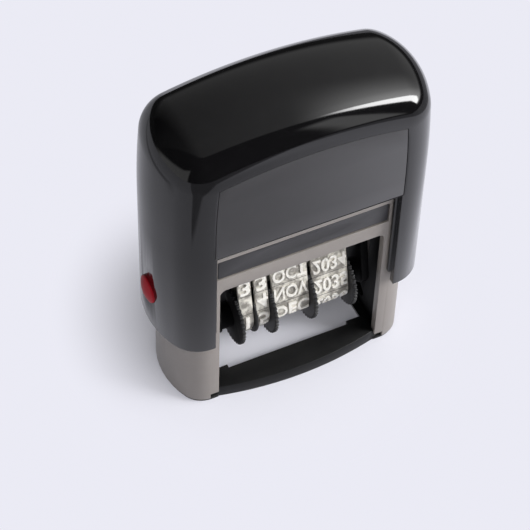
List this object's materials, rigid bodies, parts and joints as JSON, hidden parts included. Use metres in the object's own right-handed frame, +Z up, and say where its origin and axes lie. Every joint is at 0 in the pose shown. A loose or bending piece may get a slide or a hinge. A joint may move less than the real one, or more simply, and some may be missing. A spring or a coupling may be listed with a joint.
{
  "type": "self-inking date stamp",
  "caption": "Self-inking date stamp: an arched cap pressed down on a frame turns a carriage of date bands over from the ink pad to the paper.",
  "frame": {"origin": "middle of the foot, on the table", "axes": "+Z up, front with the window towards -Y, length along X"},
  "size_m": [0.0664, 0.0278, 0.0857],
  "materials": {
    "cap": "gloss",
    "label_plate": "satin",
    "button": "gloss",
    "frame": "satin",
    "black_plastic": "satin",
    "wheel": "matt",
    "felt": "felt soaked with ink",
    "band": "matt",
    "steel": "drawn wire and bar"
  },
  "bodies": {
    "base": {"base_frame": "frame", "cam_plate_left": "black_plastic", "cam_plate_right": "black_plastic", "base_ring": "black_plastic", "return_spring": "steel"},
    "pad": {"ink_pad_tray": "black_plastic", "ink_pad": "felt"},
    "cap": {"cap_shell": "cap", "front_label_plate": "label_plate", "drive_yoke": "black_plastic"},
    "carriage": {"carriage": "black_plastic", "platen": "black_plastic", "wheel_axle": "steel", "trunnion_pin_left": "steel", "trunnion_pin_right": "steel", "follower_pin_left": "steel", "follower_pin_right": "steel", "spacer_disc": "wheel", "day_tens_band": "band", "day_units_band": "band", "month_band": "band", "year_band": "band"},
    "day_tens": {"day_tens_wheel": "wheel"},
    "day_units": {"day_units_wheel": "wheel"},
    "month": {"month_wheel": "wheel"},
    "year": {"year_wheel": "wheel"},
    "lock_left": {"lock_button_left": "button"},
    "lock_right": {"lock_button_right": "button"}
  },
  "joints": [
    {"name": "cap_press", "type": "slide", "parent": "base", "child": "cap", "axis": [0, 0, -1], "range_m": [0, 0.02], "stiffness_N_per_m": 150, "springref_m": -0.02, "deforming": ["return_spring"]},
    {"name": "carriage_flip", "type": "hinge", "parent": "cap", "child": "carriage", "pos_m": [0, 0, 0.0313], "axis": [-1, 0, 0], "range_deg": [0, 180]},
    {"name": "day_tens_turn", "type": "hinge", "parent": "carriage", "child": "day_tens", "pos_m": [0, -0.0042, 0.0199], "axis": [1, 0, 0], "continuous": true},
    {"name": "day_units_turn", "type": "hinge", "parent": "carriage", "child": "day_units", "pos_m": [0, -0.0042, 0.0199], "axis": [1, 0, 0], "continuous": true},
    {"name": "month_turn", "type": "hinge", "parent": "carriage", "child": "month", "pos_m": [0, -0.0042, 0.0199], "axis": [1, 0, 0], "continuous": true},
    {"name": "year_turn", "type": "hinge", "parent": "carriage", "child": "year", "pos_m": [0, -0.0042, 0.0199], "axis": [1, 0, 0], "continuous": true},
    {"name": "lock_left_push", "type": "slide", "parent": "cap", "child": "lock_left", "axis": [-1, 0, 0], "range_m": [-0.001, 0], "stiffness_N_per_m": 300, "springref_m": 0.0005},
    {"name": "lock_right_push", "type": "slide", "parent": "cap", "child": "lock_right", "axis": [1, 0, 0], "range_m": [-0.001, 0], "stiffness_N_per_m": 300, "springref_m": 0.0005},
    {"name": "pad_slide", "type": "slide", "parent": "base", "child": "pad", "axis": [0, 1, 0], "range_m": [-0.022, 0]}
  ],
  "couplings": [
    {"joint": "carriage_flip", "follows": "cap_press", "rad_per_m": 157.08}
  ]
}
